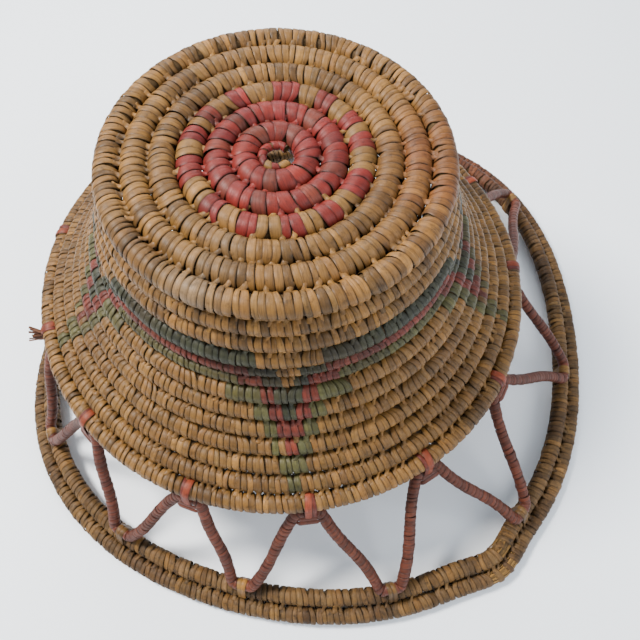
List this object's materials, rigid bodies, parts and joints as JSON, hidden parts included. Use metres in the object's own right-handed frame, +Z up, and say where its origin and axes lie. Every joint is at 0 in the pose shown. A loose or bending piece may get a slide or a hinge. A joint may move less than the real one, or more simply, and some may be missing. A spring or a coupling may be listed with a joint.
{
  "type": "coiled palm-leaf hat",
  "caption": "Flat-topped conical hat of coiled, strip-wrapped palm leaf, its flared bell tied by a zigzag of bent rods to a double-coiled rim that it rests on.",
  "frame": {"origin": "centre of the outline at the plane the rim rests on", "axes": "+Z up through the crown, -Y the side facing the viewer of the picture, +X to that viewer's right"},
  "size_m": [0.3348, 0.3386, 0.179],
  "materials": {
    "grass_bundle": "dry grass bundle, matt",
    "leaf_loop": "dyed palm leaf, satin",
    "leaf_natural": "plain palm leaf, satin",
    "leaf_patterned": "dyed palm leaf, satin",
    "leaf_red": "dyed palm leaf, satin",
    "leaf_red_natural": "dyed and plain palm leaf, satin",
    "leaf_rim": "weathered palm leaf, matt",
    "leaf_rod": "dyed palm leaf, satin",
    "leaf_tie": "plain palm leaf, satin",
    "twig": "peeled twig, matt"
  },
  "bodies": {
    "root": {"apex_loops": "leaf_loop", "crown_core": "grass_bundle", "crown_start_curl": "grass_bundle", "crown_wrap_edge": "leaf_natural", "crown_wrap_mixed": "leaf_red_natural", "crown_wrap_natural": "leaf_natural", "crown_wrap_red": "leaf_red", "foot_ties": "leaf_tie", "rim_core_lower": "grass_bundle", "rim_core_upper": "grass_bundle", "rim_wrap_lower": "leaf_rim", "rim_wrap_upper": "leaf_rim", "skirt_core_1": "grass_bundle", "skirt_core_2": "grass_bundle", "skirt_core_3": "grass_bundle", "skirt_core_4": "grass_bundle", "skirt_core_5": "grass_bundle", "skirt_wrap_01": "leaf_natural", "skirt_wrap_02": "leaf_natural", "skirt_wrap_03": "leaf_patterned", "skirt_wrap_04": "leaf_patterned", "skirt_wrap_05": "leaf_patterned", "skirt_wrap_06": "leaf_patterned", "skirt_wrap_07": "leaf_patterned", "skirt_wrap_08": "leaf_patterned", "skirt_wrap_09": "leaf_patterned", "skirt_wrap_10": "leaf_patterned", "wall_core": "grass_bundle", "wall_wrap_1": "leaf_natural", "wall_wrap_2": "leaf_natural", "zigzag_rod_01": "twig", "zigzag_rod_02": "twig", "zigzag_rod_03": "twig", "zigzag_rod_04": "twig", "zigzag_rod_05": "twig", "zigzag_rod_06": "twig", "zigzag_rod_07": "twig", "zigzag_rod_08": "twig", "zigzag_rod_09": "twig", "zigzag_rod_10": "twig", "zigzag_rod_11": "twig", "zigzag_rod_12": "twig", "zigzag_rod_13": "twig", "zigzag_rod_14": "twig", "zigzag_rod_15": "twig", "zigzag_rod_16": "twig", "zigzag_rod_17": "twig", "zigzag_rod_18": "twig", "zigzag_rod_19": "twig", "zigzag_rod_20": "twig", "zigzag_rod_21": "twig", "zigzag_rod_22": "twig", "zigzag_rod_23": "twig", "zigzag_rod_24": "twig", "zigzag_rod_25": "twig", "zigzag_rod_26": "twig", "zigzag_wraps": "leaf_rod"}
  },
  "joints": []
}
